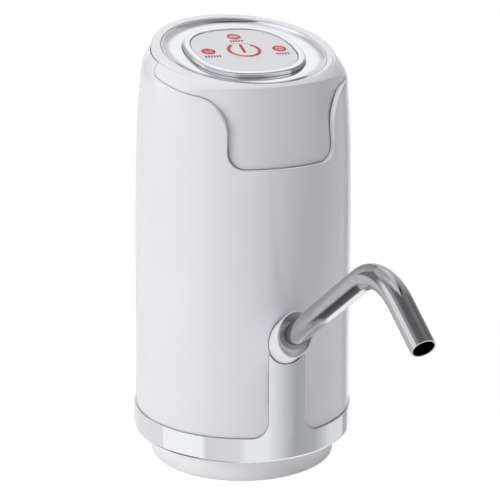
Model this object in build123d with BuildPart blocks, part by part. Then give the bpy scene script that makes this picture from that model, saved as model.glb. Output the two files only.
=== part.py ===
from build123d import *

import os
from math import atan2, cos, pi, radians, sin, tan

# A rechargeable pump that stands on the neck of a large water bottle.
# Millimetres. Z points up, the spout points to -Y, and the origin is the
# middle of the collar's bottom rim, where the pump meets the bottle.

os.makedirs("parts", exist_ok=True)

# Fits shared by the whole part
overrun = 20.0           # how far a cut runs past what it cuts
seam = 0.2               # gap between two casings
hairline = 0.1           # gap round a key, and round a moulded part in its seat
slip = 0.05              # radial gap of a sliding or turning fit

# Body: foot of the shell, slanted top, and the flank between them
shell_foot_height = 18.5
shell_foot_radius = 38.5
shell_wall = 1.8
top_height = 146.8       # height of the slanted top on the body's axis
top_slope = 12.5         # the top falls towards the spout
shoulder_round = 10.0
shoulder_crest = 0.9     # height of the round's crest over the slanted top; the rim cuts it off
flank_height_shares = (0.0, 0.41, 0.74, 0.892, 1.0, 1.1)
flank_radius_shares = (1.0, 0.987, 0.969, 0.94, 0.9, 0.858)

# White rim, and the cap that carries the panel
rim_inset = 6.5          # the rim's edge, drawn in from the shell's foot
rim_radius = shell_foot_radius - rim_inset
rim_width = 3.3
rim_edge = 0.4
cap_wall = 1.6
cap_foot_height = 107.0
cap_floor_depth = 3.0    # depth of the dish under the rim

# Front opening of the shell: a bib below a band that runs round to the sides
bib_bottom = 113.3
bib_half_angle = 32.4
bib_corner = 6.0
bib_start = 25.0         # radius at which the bib's cut begins
bib_curve = 40.0         # radius of the cap's bowed front face
bib_foot_inset = 1.9     # how deep that face lies in the shell at the bib's foot
bib_top_inset = 3.7      # and at the height of the rim
band_depth = 4.8         # band's lower edge, measured down from the slanted top
band_end = 1.2           # distance of the band's end in front of the body's middle
band_corner = 5.0
bib_shoulder = 11.5

# Chrome dish ring, chrome frame and grey key panel on the slanted top
ring_lip_depth = 0.25
ring_lip_width = 0.35
cove_width = 4.0
plateau_depth = 1.4
panel_half = 17.85
panel_depth = 0.2
panel_thickness = 1.2
panel_edge = 0.2
frame_width = 2.75
frame_rise = 0.1
frame_outer_round = 0.9
frame_inner_round = 0.35
frame_ledge = 1.6
cushion_corner_share = 0.81
cushion_round_share = 0.78

# Keys, lamp and the board under them, all square to the slanted top
label_turn = 5.0         # the label sits turned a little clockwise
power_key_radius = 5.95
side_key_radius = 2.4
side_key_reach = 12.9
lamp_reach = 11.7
key_edge = 0.15
key_flange_width = 0.6
key_flange_height = 0.6
key_travel = 0.4
stem_radius = 1.1
stem_length = 1.5
key_well_half = 14.6
plunger_radius = 0.9
plunger_length = 1.9
switch_top_depth = 4.9
switch_side = 6.0
switch_height = 3.4
board_radius = 23.0
board_thickness = 1.6
board_post_radius = 2.4
board_post_reach = 19.5
board_post_count = 3
board_post_turn = 30.0
lamp_stem_radius = 1.7
led_side = 2.6
led_height = 1.1

# Small screws
hexagon_sides = 6
screw_radius = 1.1
screw_head_radius = 2.1
screw_head_height = 1.4
screw_bite = 5.0
socket_radius_share = 0.55
socket_depth_share = 0.6
roof_screw_bite = 3.2
charge_screw_bite = 5.0
motor_screw_bite = 1.4

# Collar that slips over the bottle's neck, with its rubber sleeve
collar_inset = 5.5       # the collar's outside, drawn in from the shell's foot
collar_radius = shell_foot_radius - collar_inset
collar_wall = 2.2
collar_edge = 0.8
collar_top_height = 34.4
roof_thickness = 2.4
flange_thickness = 1.5
grip_inset = 5.1         # the sleeve's bore, drawn in from the collar's outside
grip_bore = collar_radius - grip_inset
grip_foot_height = 2.0
grip_chamfer = 1.0
grip_length = 11.0
grip_relief = 1.3

# Chrome ring round the foot, with the spine that rises to the spout
trim_bottom = 9.5
trim_web = 2.5
trim_proud = 0.5         # how far the ring stands out from the shell's foot
trim_radius = shell_foot_radius + trim_proud
trim_wall = 1.9
trim_lower_edge = 0.9
spine_half_width = 6.9
spine_flare = 5.7
spine_cup_radius = 7.7
spine_cup_height = 52.4
post_count = 3
post_inset = 3.4         # the shell's screw posts, drawn in from its foot
post_reach = shell_foot_radius - post_inset
post_radius = 1.8
post_top = 34.0
post_screw_radius = 0.9
post_screw_head = 1.6
post_screw_head_height = 1.3
post_screw_length = 12.0

# Intake spigot in the middle of the collar's roof
spigot_radius = 4.0
spigot_bore = 2.8
spigot_length = 15.0
spigot_chamfer = 0.8
spigot_flange_radius = 6.5
spigot_flange_height = 1.5
spigot_thread_radius = 3.4
gasket_thickness = 0.8
nut_radius = 6.2
nut_height = 2.6
barb_radius = 2.4
barb_bore = 1.4
barb_length = 7.0

# Spout: first leg, bend, second leg
spout_root_inset = 0.5   # where the first leg's axis meets the wall, drawn in from the foot
spout_root_reach = shell_foot_radius - spout_root_inset
spout_root_height = 53.15
spout_rise = 35.6
spout_fall = 33.2
first_leg = 80.2         # from the wall to the corner of the two axes
second_leg = 33.2
bend_radius = 23.4
tube_radius = 4.0
tube_wall = 0.5
tube_inset = 11.5        # length of tube inside the wall
socket_radius = 6.9
mouth_radius = 6.4
mouth_proud = 5.6        # how far the socket's mouth stands out from the shell's foot
mouth_reach = shell_foot_radius + mouth_proud
mouth_edge = 0.25
mouth_depth = 7.0
guide_depth = 12.2
socket_depth = 14.0
socket_barb_length = 4.2
foot_half_width = 3.4
foot_inner_reach = 22.9
foot_outer_reach = 32.6
foot_height = 3.6
foot_rib_width = 4.0
foot_rib_reach = 29.0
seal_front = 2.5
seal_back = 4.5
seal_lip_radius = 5.3
seal_lip_height = 0.7
o_ring_section = 1.05

# Diaphragm pump, standing on its ports
port_reach = 6.5
pump_turn = 52.0
pump_radius = 13.5
port_bottom = 50.0
port_length = 6.0
cover_thickness = 4.5
valve_plate_thickness = 3.0
diaphragm_thickness = 1.2
pump_chamber_radius = 10.4
pump_body_height = 15.3
pump_roof = 2.0
pump_screw_reach = 12.0
pump_screw_radius = 0.8
pump_screw_head = 1.4
pump_screw_head_height = 0.9
cup_count = 3
cup_reach = 6.4
cup_radius = 3.6
cup_wall = 0.5
cup_height = 3.4
button_radius = 1.1
button_head_radius = 1.6
button_head_height = 0.8
cover_rib = 1.0
pocket_depth = 2.5
valve_thickness = 0.5
inlet_valve_radius = 2.1
inlet_valve_reach = 7.3
outlet_valve_radius = 4.2
outlet_pocket_radius = 4.4
valve_stem_radius = 0.7
valve_stem_length = 2.0
valve_hole_radius = 0.6
valve_hole_reach = 1.45
valve_hole_count = 4
outlet_hole_reach = 3.4
swash_radius = 8.2
swash_thickness = 1.8
swash_pin_radius = 0.9
hub_radius = 4.6
hub_height = 4.4
hub_gap = 0.4
hub_recess = 2.0
hub_grip = 2.0

# Motor on top of the pump
motor_radius = 12.2
motor_height = 27.0
motor_wall = 0.8
motor_shaft_radius = 1.0
bush_radius = 3.0
bush_length = 2.4
magnet_thickness = 1.7
magnet_height = 19.0
magnet_lift = 4.0
magnet_gap_share = 0.3
armature_radius = 8.9
armature_height = 15.0
armature_lift = 6.0
pole_count = 5
pole_slot_width = 1.6
pole_slot_depth = 3.4
commutator_radius = 2.8
commutator_height = 3.0
commutator_lift = 22.0
end_cap_thickness = 2.2
end_cap_spigot = 1.4
end_cap_skin = 0.8
motor_screw_reach = 6.5
motor_screw_count = 2
brush_thickness = 0.5
brush_width = 2.4
brush_length = 2.6
terminal_width = 2.4
terminal_thickness = 0.4
terminal_height = 5.0
terminal_reach = 7.0

# Cell, its cradle, and the bracket that carries pump and cell
cell_radius = 9.2
cell_length = 65.0
cell_x = 13.0
cell_y = 12.2
cell_edge = 0.6
cell_button_radius = 3.2
cell_button_height = 1.0
cradle_wall = 1.5
cradle_floor = 2.4
cradle_cup_height = 13.0
clip_bottom = 92.0
clip_height = 8.0
clip_back_width = 5.0
clip_mouth_share = 0.5
peg_radius = 1.5
peg_count = 2
peg_reach_share = 0.55
bracket_thickness = 2.4
bracket_radius = 29.5
bracket_front = 22.6
bracket_well = 7.6
bracket_boss_radius = 3.0
bracket_boss_height = 4.0
clamp_wall = 2.0
clamp_height = 9.0
clamp_lift = 1.0
clamp_gap = 0.4
clamp_post_radius = 2.2
clamp_post_angles = (113.0, 198.0, 293.0)
bracket_screw_reach = 26.0
bracket_screw_angles = (-20.0, 100.0, 180.0)

# Charging socket in the back, on its own small board
charge_height = 52.3
charge_board_width = 15.0
charge_board_length = 12.4
charge_board_thickness = 1.2
charge_board_inset = 3.1
charge_board_reach = shell_foot_radius - charge_board_inset
charge_post_radius = 1.9
charge_post_x = 5.2
charge_post_reach = 25.6
usb_width = 8.9
usb_height = 3.2
usb_length = 7.3
usb_round = 1.4
usb_wall = 0.35
usb_inset = 1.6          # the socket's mouth, drawn in from the shell's foot
usb_reach = shell_foot_radius - usb_inset
usb_hole_gap = 0.35
usb_tongue_width = 6.4
usb_tongue_thickness = 0.7
usb_tongue_length = 5.6

# Hoses inside the body
hose_radius = 3.5
hose_first_run = 8.0
hose_last_run = 13.0
hose_bend_share = 0.45


def share_points(radii, heights, inset=0.0):
    """Points of the body's flank, drawn in by an inset."""
    rise = top_height - shell_foot_height
    return [
        (shell_foot_radius * radius - inset, shell_foot_height + rise * height)
        for radius, height in zip(radii, heights)
    ]


def rotated_point(reach, angle):
    """A point at a distance and an angle from +X."""
    return reach * cos(radians(angle)), reach * sin(radians(angle))


# The slanted top, the plane that cuts it in half, and the spout's own plane
top_normal = Vector(0, -sin(radians(top_slope)), cos(radians(top_slope)))
top_face = Plane(origin=(0, 0, top_height), x_dir=(1, 0, 0), z_dir=top_normal)
top_section = Plane(
    origin=(0, 0, top_height),
    x_dir=(1, 0, 0),
    z_dir=(0, -cos(radians(top_slope)), -sin(radians(top_slope))),
)
top_axis = Axis(top_face.origin, top_face.z_dir)
label_across = Vector(
    cos(radians(label_turn)),
    -sin(radians(label_turn)) * cos(radians(top_slope)),
    -sin(radians(label_turn)) * sin(radians(top_slope)),
)
label_face = Plane(origin=top_face.origin, x_dir=label_across, z_dir=top_normal)

rise_direction = Vector(0, -cos(radians(spout_rise)), sin(radians(spout_rise)))
fall_direction = Vector(0, -cos(radians(spout_fall)), -sin(radians(spout_fall)))
spout_root = Vector(0, -spout_root_reach, spout_root_height)
spout_face = Plane(origin=spout_root, x_dir=(1, 0, 0), z_dir=rise_direction)
spout_section = Plane(
    origin=spout_root,
    x_dir=(1, 0, 0),
    z_dir=(0, -rise_direction.Z, rise_direction.Y),
)
spout_axis = Axis(spout_root, rise_direction)


def top_plane(depth):
    """The slanted top, moved down by a depth."""
    return top_face.offset(-depth)


def label_plane(depth):
    """The same, turned with the label."""
    return label_face.offset(-depth)


def body_block(inset, depth, corner):
    """The body's outside, drawn in by an inset and cut below the slanted top."""
    with BuildPart() as block:
        with BuildSketch(Plane.XZ):
            with BuildLine():
                flank = Spline(*share_points(flank_radius_shares, flank_height_shares, inset))
                Polyline(flank @ 1, (0, (flank @ 1).Y), (0, shell_foot_height), flank @ 0)
            make_face()
        revolve(axis=Axis.Z)
        split(bisect_by=top_plane(depth), keep=Keep.BOTTOM)
        if corner > 0:
            fillet(block.faces().sort_by(Axis.Z)[-1].edges(), corner)
    return block.part


def flank_radius(height):
    """Radius of the body's flank at a height, read between the points it is drawn through."""
    points = share_points(flank_radius_shares, flank_height_shares)
    for (low_radius, low), (high_radius, high) in zip(points, points[1:]):
        if low <= height <= high:
            return low_radius + (high_radius - low_radius) * (height - low) / (high - low)
    return shell_foot_radius


def bib_face(inset):
    """A leaning cylinder whose front is the cap's front face, drawn in by an inset."""
    rim_height = top_height - rim_radius * sin(radians(top_slope))
    foot = flank_radius(bib_bottom) - bib_foot_inset
    lean = atan2(foot - flank_radius(rim_height) + bib_top_inset, rim_height - bib_bottom)
    face = Plane(origin=(0, -foot, bib_bottom), x_dir=(1, 0, 0), z_dir=(0, sin(lean), cos(lean)))
    with BuildPart() as solid:
        with BuildSketch(face.offset(-2 * overrun)):
            with Locations((0, bib_curve)):
                Circle(bib_curve - inset)
        extrude(amount=top_height)
    return solid.part


def front_opening(margin):
    """The bib and the band that are cut from the shell's front, made smaller by a margin."""
    half = radians(bib_half_angle)
    shift = margin / sin(half)
    reach = shell_foot_radius + overrun
    near = (bib_start * sin(half), -bib_start * cos(half) - shift)
    far = (reach * sin(half), -reach * cos(half) - shift)
    with BuildPart() as opening:
        with BuildSketch(Plane.XY.offset(bib_bottom + margin)):
            with BuildLine():
                Polyline(near, far, (-far[0], far[1]), (-near[0], near[1]), close=True)
            make_face()
        extrude(amount=top_height - bib_bottom)
        floor_edges = opening.faces().sort_by(Axis.Z)[0].edges()
        fillet(floor_edges.filter_by(Axis.X, reverse=True), bib_corner - margin)
        band_plane = top_plane(band_depth - margin)
        with BuildSketch(band_plane):
            with Locations((0, -(band_end + margin))):
                Rectangle(2 * reach, reach, align=(Align.CENTER, Align.MAX))
        extrude(amount=overrun + band_depth)
        along = opening.edges().filter_by(band_plane).filter_by(Axis.X, reverse=True)
        fillet(along.sort_by(lambda edge: abs(edge.center().X))[:2], bib_shoulder + margin)
        fillet(opening.edges().filter_by(Axis.X).group_by(Axis.Y)[-1], band_corner - margin)
    return opening.part


def cushion(grow=0.0):
    """The key panel's outline: four bowed sides with rounded corners, grown by an amount."""
    corner = panel_half * cushion_corner_share
    with BuildSketch() as outline:
        with BuildLine():
            ThreePointArc((corner, -corner), (panel_half, 0), (corner, corner))
            ThreePointArc((corner, corner), (0, panel_half), (-corner, corner))
            ThreePointArc((-corner, corner), (-panel_half, 0), (-corner, -corner))
            ThreePointArc((-corner, -corner), (0, -panel_half), (corner, -corner))
        make_face()
        fillet(outline.vertices(), panel_half * cushion_round_share)
        if grow:
            offset(amount=grow)
    return outline.sketch


def screw(plane, radius, head_radius, head_height, length):
    """A cap screw: its head lies below the plane, its shaft runs above it."""
    with BuildPart() as solid:
        with BuildSketch(plane.offset(-head_height)):
            Circle(head_radius)
        extrude(amount=head_height)
        with BuildSketch(plane):
            Circle(radius)
        extrude(amount=length)
        with BuildSketch(plane.offset(-head_height)):
            RegularPolygon(head_radius * socket_radius_share, hexagon_sides)
        extrude(amount=head_height * socket_depth_share, mode=Mode.SUBTRACT)
    return solid.part


def finish(builder, name):
    """Label a finished piece and write it."""
    builder.part.label = name
    export_step(builder.part, f"parts/{name}.step")


# Body

post_angles = [90 + 360 * (turn + 0.5) / post_count for turn in range(post_count)]
post_places = [rotated_point(post_reach, angle) for angle in post_angles]
flange_top = trim_bottom + trim_web + flange_thickness
shell_outside = body_block(0, -shoulder_crest, shoulder_round)
shell_inside = body_block(
    shell_wall, shell_wall - shoulder_crest, shoulder_round - shell_wall
)
shell_opening = front_opening(0)
usb_plane = Plane(origin=(0, usb_reach, charge_height), x_dir=(-1, 0, 0), z_dir=(0, 1, 0))

with BuildPart() as outer_shell:
    add(shell_outside)
    add(shell_inside, mode=Mode.SUBTRACT)
    with BuildSketch(top_plane(overrun)):
        Circle(rim_radius + seam)
    extrude(amount=2 * overrun, mode=Mode.SUBTRACT)
    add(shell_opening, mode=Mode.SUBTRACT)
    with BuildSketch(spout_face.offset(-overrun)):
        Circle(socket_radius + seam)
    extrude(amount=2 * overrun, mode=Mode.SUBTRACT)
    with BuildSketch(usb_plane.offset(-usb_length)):
        RectangleRounded(
            usb_width + 2 * usb_hole_gap, usb_height + 2 * usb_hole_gap, usb_round + usb_hole_gap
        )
    extrude(amount=overrun, mode=Mode.SUBTRACT)
    with BuildSketch(Plane.XY.offset(flange_top)):
        with Locations(*post_places):
            Circle(post_radius)
    extrude(amount=post_top - flange_top)
    with BuildSketch(Plane.XY.offset(flange_top)):
        with Locations(*post_places):
            Circle(post_screw_radius)
    extrude(amount=post_screw_length, mode=Mode.SUBTRACT)
finish(outer_shell, "outer_shell")

# Cap: the recessed front, the white rim, and the floor that carries the panel

cap_inset = shell_wall + seam
cap_round = shoulder_round - shell_wall
round_depth = shoulder_round - shoulder_crest
floor_bottom = cap_floor_depth + cap_wall
cap_outside = body_block(cap_inset, round_depth - cap_round, cap_round)
inner_round = cap_round - cap_wall
cap_inside = body_block(cap_inset + cap_wall, round_depth - inner_round, inner_round)
pad_outside = body_block(hairline, -shoulder_crest, shoulder_round)
front_face = bib_face(0)
pad_opening = front_opening(seam)
switch_depth = switch_top_depth + switch_height
key_well = cushion(key_well_half - panel_half)

with BuildPart() as cap_hollow:
    add(cap_inside)
    split(bisect_by=top_plane(floor_bottom), keep=Keep.BOTTOM)
    add(bib_face(cap_wall), mode=Mode.INTERSECT)

with BuildPart() as cap_pad:
    add(pad_outside)
    split(bisect_by=Plane.XY.offset(bib_bottom), keep=Keep.TOP)
    add(front_face, mode=Mode.INTERSECT)
    add(pad_opening, mode=Mode.INTERSECT)
    add(cap_hollow.part, mode=Mode.SUBTRACT)
    with BuildSketch(top_plane(cap_floor_depth)):
        Circle(rim_radius - rim_width / 2)
    extrude(amount=overrun, both=True, mode=Mode.SUBTRACT)

with BuildPart() as cap_rim:
    with BuildSketch(top_plane(round_depth)):
        Circle(rim_radius)
    extrude(amount=round_depth)
    add(cap_hollow.part, mode=Mode.SUBTRACT)
    with BuildSketch(top_plane(cap_floor_depth)):
        Circle(rim_radius - rim_width)
    extrude(amount=cap_floor_depth, mode=Mode.SUBTRACT)
    fillet(cap_rim.faces().sort_by(top_axis)[-1].edges(), rim_edge)
    with BuildSketch(top_plane(floor_bottom)):
        add(key_well)
    extrude(amount=overrun, mode=Mode.SUBTRACT)

with BuildPart() as top_cap:
    add(cap_outside)
    add(front_face, mode=Mode.INTERSECT)
    add(cap_hollow.part, mode=Mode.SUBTRACT)
    split(bisect_by=Plane.XY.offset(cap_foot_height), keep=Keep.TOP)
    with BuildSketch(top_plane(cap_floor_depth)):
        Circle(rim_radius - rim_width / 2)
    extrude(amount=overrun, both=True, mode=Mode.SUBTRACT)
    add(cap_rim.part)
    add(cap_pad.part)
    with BuildSketch(label_plane(switch_depth)):
        with PolarLocations(board_post_reach, board_post_count, board_post_turn):
            Circle(board_post_radius)
    extrude(amount=switch_depth - floor_bottom)
    with BuildSketch(label_plane(switch_depth)):
        with PolarLocations(board_post_reach, board_post_count, board_post_turn):
            Circle(screw_radius)
    extrude(amount=switch_depth - floor_bottom, mode=Mode.SUBTRACT)
finish(top_cap, "top_cap")

# Chrome dish ring, frame, and key panel

frame_outline = cushion(frame_width)
ring_cutout = cushion(frame_width + hairline)
ledge_outline = cushion(hairline)
frame_hole = cushion(-frame_ledge)
panel_outline = cushion()
panel_bottom = panel_depth + panel_thickness
ring_radius = rim_radius - rim_width - hairline
cove_start = ring_radius - ring_lip_width

with BuildPart() as top_trim_ring:
    with BuildSketch(top_section):
        with BuildLine():
            Polyline(
                (cove_start, -ring_lip_depth),
                (ring_radius, -ring_lip_depth),
                (ring_radius, -cap_floor_depth),
                (0, -cap_floor_depth),
                (0, -plateau_depth),
                (cove_start - cove_width, -plateau_depth),
            )
            TangentArc(
                (cove_start - cove_width, -plateau_depth),
                (cove_start, -ring_lip_depth),
                tangent=(1, 0),
            )
        make_face()
    revolve(axis=top_axis)
    with BuildSketch(top_plane(cap_floor_depth + overrun)):
        add(ring_cutout)
    extrude(amount=2 * overrun, mode=Mode.SUBTRACT)
finish(top_trim_ring, "top_trim_ring")

with BuildPart() as panel_bezel:
    with BuildSketch(top_plane(cap_floor_depth)):
        add(frame_outline)
        add(frame_hole, mode=Mode.SUBTRACT)
    extrude(amount=cap_floor_depth + frame_rise)
    with BuildSketch(top_plane(panel_bottom)):
        add(ledge_outline)
    extrude(amount=overrun, mode=Mode.SUBTRACT)
    frame_top = panel_bezel.faces().filter_by(top_face).sort_by(top_axis)[-1]
    fillet(frame_top.outer_wire().edges(), frame_outer_round)
    frame_top = panel_bezel.faces().filter_by(top_face).sort_by(top_axis)[-1]
    fillet(frame_top.inner_wires()[0].edges(), frame_inner_round)
finish(panel_bezel, "panel_bezel")

key_places = {
    "power": (0, 0, power_key_radius),
    "volume": (-side_key_reach, 0, side_key_radius),
    "timer": (side_key_reach, 0, side_key_radius),
}
lamp_place = (0, lamp_reach)

with BuildPart() as key_panel:
    with BuildSketch(top_plane(panel_bottom)):
        add(panel_outline)
    extrude(amount=panel_thickness)
    fillet(key_panel.faces().sort_by(top_axis)[-1].edges(), panel_edge)
    with BuildSketch(label_plane(panel_bottom)):
        for key_x, key_y, key_radius in key_places.values():
            with Locations((key_x, key_y)):
                Circle(key_radius + hairline)
        with Locations(lamp_place):
            Circle(side_key_radius + hairline)
    extrude(amount=panel_thickness, mode=Mode.SUBTRACT)
finish(key_panel, "key_panel")

# Keys with their plungers, the lamp, the switches and the board

flange_depth = panel_bottom + hairline + key_flange_height
stem_depth = flange_depth + stem_length
for key_name, (key_x, key_y, key_radius) in key_places.items():
    with BuildPart() as key:
        with BuildSketch(label_plane(flange_depth)):
            with Locations((key_x, key_y)):
                Circle(key_radius + key_flange_width)
        extrude(amount=key_flange_height)
        with BuildSketch(label_plane(flange_depth)):
            with Locations((key_x, key_y)):
                Circle(key_radius)
        extrude(amount=flange_depth - panel_depth)
        fillet(key.edges().group_by(top_axis)[-1], key_edge)
        with BuildSketch(label_plane(stem_depth)):
            with Locations((key_x, key_y)):
                Circle(stem_radius)
        extrude(amount=stem_length)
    finish(key, f"{key_name}_key")
    with BuildPart() as plunger:
        with BuildSketch(label_plane(stem_depth + plunger_length)):
            with Locations((key_x, key_y)):
                Circle(plunger_radius)
        extrude(amount=plunger_length)
    finish(plunger, f"{key_name}_plunger")

with BuildPart() as battery_lamp:
    with BuildSketch(label_plane(flange_depth)):
        with Locations(lamp_place):
            Circle(side_key_radius + key_flange_width)
    extrude(amount=flange_depth - panel_bottom)
    with BuildSketch(label_plane(panel_bottom)):
        with Locations(lamp_place):
            Circle(side_key_radius)
    extrude(amount=panel_thickness)
    with BuildSketch(label_plane(switch_depth - led_height - hairline)):
        with Locations(lamp_place):
            Circle(lamp_stem_radius)
    extrude(amount=switch_depth - led_height - hairline - flange_depth)
finish(battery_lamp, "battery_lamp")

with BuildPart() as lamp_led:
    with BuildSketch(label_plane(switch_depth)):
        with Locations(lamp_place):
            Rectangle(led_side, led_side)
    extrude(amount=led_height)
finish(lamp_led, "lamp_led")

with BuildPart() as key_switches:
    with BuildSketch(label_plane(switch_depth)):
        for key_x, key_y, key_radius in key_places.values():
            with Locations((key_x, key_y)):
                Rectangle(switch_side, switch_side)
    extrude(amount=switch_height)
    with BuildSketch(label_plane(stem_depth + plunger_length + key_travel + hairline)):
        for key_x, key_y, key_radius in key_places.values():
            with Locations((key_x, key_y)):
                Circle(plunger_radius + hairline)
    extrude(amount=overrun, mode=Mode.SUBTRACT)
finish(key_switches, "key_switches")

with BuildPart() as control_board:
    with BuildSketch(label_plane(switch_depth + board_thickness)):
        Circle(board_radius)
        with PolarLocations(board_post_reach, board_post_count, board_post_turn):
            Circle(screw_radius + hairline, mode=Mode.SUBTRACT)
    extrude(amount=board_thickness)
finish(control_board, "control_board")

board_screw = screw(Plane.XY, screw_radius, screw_head_radius, screw_head_height, screw_bite)
with BuildPart() as board_screws:
    with Locations(label_plane(switch_depth + board_thickness)):
        with PolarLocations(board_post_reach, board_post_count, board_post_turn):
            add(board_screw)
finish(board_screws, "board_screws")

# Foot: collar, rubber sleeve, chrome ring with its spine, screws

roof_bottom = collar_top_height - roof_thickness
roof_screw_places = [rotated_point(bracket_screw_reach, angle) for angle in bracket_screw_angles]
socket_screw_place = (0, -bracket_screw_reach)

with BuildPart() as neck_collar:
    with BuildSketch():
        Circle(collar_radius)
    extrude(amount=collar_top_height)
    with BuildSketch():
        Circle(collar_radius - collar_wall)
    extrude(amount=roof_bottom, mode=Mode.SUBTRACT)
    fillet(neck_collar.faces().sort_by(Axis.Z)[0].outer_wire().edges(), collar_edge)
    with BuildSketch(Plane.XY.offset(trim_bottom + trim_web)):
        Circle(trim_radius - trim_wall - seam)
        Circle(collar_radius - collar_wall / 2, mode=Mode.SUBTRACT)
    extrude(amount=flange_thickness)
    with BuildSketch(Plane.XY.offset(trim_bottom)):
        with Locations(*post_places):
            Circle(post_screw_radius + hairline)
    extrude(amount=flange_top - trim_bottom, mode=Mode.SUBTRACT)
    with BuildSketch(Plane.XY.offset(roof_bottom)):
        Circle(spigot_thread_radius + slip)
        with Locations(socket_screw_place, *roof_screw_places):
            Circle(screw_radius + hairline)
    extrude(amount=roof_thickness, mode=Mode.SUBTRACT)
finish(neck_collar, "neck_collar")

grip_radius = collar_radius - collar_wall - slip
grip_start = grip_foot_height + grip_chamfer
grip_end = grip_start + grip_length
with BuildPart() as neck_grip:
    with BuildSketch(Plane.XZ):
        with BuildLine():
            Polyline(
                (grip_radius, grip_foot_height),
                (grip_bore + grip_chamfer, grip_foot_height),
                (grip_bore, grip_start),
                (grip_bore, grip_end),
                (grip_bore + grip_relief, grip_end + grip_relief),
                (grip_bore + grip_relief, roof_bottom - hairline),
                (grip_radius, roof_bottom - hairline),
                close=True,
            )
        make_face()
    revolve(axis=Axis.Z)
finish(neck_grip, "neck_grip")

with BuildPart() as spine_outline:
    with BuildSketch(Plane.XZ):
        with BuildLine():
            flare_left = (-spine_half_width - 2 * spine_flare, shell_foot_height)
            flare_right = (spine_half_width + 2 * spine_flare, shell_foot_height)
            FilletPolyline(
                flare_left,
                (-spine_half_width, shell_foot_height),
                (-spine_half_width, spine_cup_height),
                radius=spine_flare,
            )
            Line((-spine_half_width, spine_cup_height), (spine_half_width, spine_cup_height))
            FilletPolyline(
                (spine_half_width, spine_cup_height),
                (spine_half_width, shell_foot_height),
                flare_right,
                radius=spine_flare,
            )
            Polyline(
                flare_right,
                (flare_right[0], trim_bottom + trim_web),
                (flare_left[0], trim_bottom + trim_web),
                flare_left,
            )
        make_face()
        with Locations((0, spine_cup_height)):
            Circle(spine_cup_radius, mode=Mode.SUBTRACT)
    extrude(amount=shell_foot_radius + overrun)

with BuildPart() as spine_skin:
    with BuildSketch(Plane.XZ):
        with BuildLine():
            skin_out = Spline(*share_points(flank_radius_shares, flank_height_shares, -trim_proud))
            skin_in = Spline(*share_points(flank_radius_shares, flank_height_shares, -slip))
            Line(skin_out @ 0, skin_in @ 0)
            Line(skin_out @ 1, skin_in @ 1)
        make_face()
    revolve(axis=Axis.Z)
    add(spine_outline.part, mode=Mode.INTERSECT)
spine = spine_skin.part

with BuildPart() as base_trim:
    with BuildSketch(Plane.XY.offset(trim_bottom)):
        Circle(trim_radius)
    extrude(amount=shell_foot_height - trim_bottom)
    with BuildSketch(Plane.XY.offset(trim_bottom + trim_web)):
        Circle(trim_radius - trim_wall)
    extrude(amount=overrun, mode=Mode.SUBTRACT)
    with BuildSketch(Plane.XY.offset(trim_bottom)):
        Circle(collar_radius + seam)
        with Locations(*post_places):
            Circle(post_screw_radius + hairline)
    extrude(amount=trim_web, mode=Mode.SUBTRACT)
    with BuildSketch(Plane.XY.offset(trim_bottom)):
        with Locations(*post_places):
            Circle(post_screw_head + hairline)
    extrude(amount=post_screw_head_height, mode=Mode.SUBTRACT)
    rims = base_trim.edges().filter_by(GeomType.CIRCLE).group_by(SortBy.RADIUS)[-1]
    fillet(rims.sort_by(Axis.Z)[0], trim_lower_edge)
    add(spine)
finish(base_trim, "base_trim")

base_screw = screw(
    Plane.XY, post_screw_radius, post_screw_head, post_screw_head_height, post_screw_length
)
with BuildPart() as base_screws:
    with Locations(Plane.XY.offset(trim_bottom + post_screw_head_height)):
        with Locations(*post_places):
            add(base_screw)
finish(base_screws, "base_screws")

roof_screw = screw(
    Plane.XY, screw_radius, screw_head_radius, screw_head_height, roof_thickness + roof_screw_bite
)
with BuildPart() as bracket_screws:
    with Locations(Plane.XY.offset(roof_bottom)):
        with Locations(socket_screw_place, *roof_screw_places):
            add(roof_screw)
finish(bracket_screws, "bracket_screws")

# Intake spigot, its gasket and its nut

spigot_foot = roof_bottom - gasket_thickness - spigot_flange_height - spigot_length
nut_top = collar_top_height + nut_height
with BuildPart() as intake_spigot:
    with BuildSketch(Plane.XY.offset(spigot_foot)):
        Circle(spigot_radius)
    extrude(amount=spigot_length)
    chamfer(intake_spigot.faces().sort_by(Axis.Z)[0].edges(), spigot_chamfer)
    with BuildSketch(Plane.XY.offset(spigot_foot + spigot_length)):
        Circle(spigot_flange_radius)
    extrude(amount=spigot_flange_height)
    with BuildSketch(Plane.XY.offset(roof_bottom - gasket_thickness)):
        Circle(spigot_thread_radius)
    extrude(amount=gasket_thickness + roof_thickness + nut_height)
    with BuildSketch(Plane.XY.offset(nut_top)):
        Circle(barb_radius)
    extrude(amount=barb_length)
    with BuildSketch(Plane.XY.offset(spigot_foot)):
        Circle(spigot_bore)
    extrude(amount=spigot_length, mode=Mode.SUBTRACT)
    with BuildSketch(Plane.XY.offset(spigot_foot)):
        Circle(barb_bore)
    extrude(amount=top_height, mode=Mode.SUBTRACT)
finish(intake_spigot, "intake_spigot")

with BuildPart() as spigot_gasket:
    with BuildSketch(Plane.XY.offset(roof_bottom - gasket_thickness)):
        Circle(spigot_flange_radius)
        Circle(spigot_thread_radius + slip, mode=Mode.SUBTRACT)
    extrude(amount=gasket_thickness)
finish(spigot_gasket, "spigot_gasket")

with BuildPart() as spigot_nut:
    with BuildSketch(Plane.XY.offset(collar_top_height)):
        RegularPolygon(nut_radius, hexagon_sides)
        Circle(spigot_thread_radius + slip, mode=Mode.SUBTRACT)
    extrude(amount=nut_height)
finish(spigot_nut, "spigot_nut")

# Spout: socket, o-ring, seal and tube

corner_point = spout_root + rise_direction * first_leg
tip_point = corner_point + fall_direction * second_leg
mouth_plane = Plane(origin=(0, -mouth_reach, 0), x_dir=(1, 0, 0), z_dir=(0, -1, 0))
foot_face = Plane.XY.offset(collar_top_height)

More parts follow.
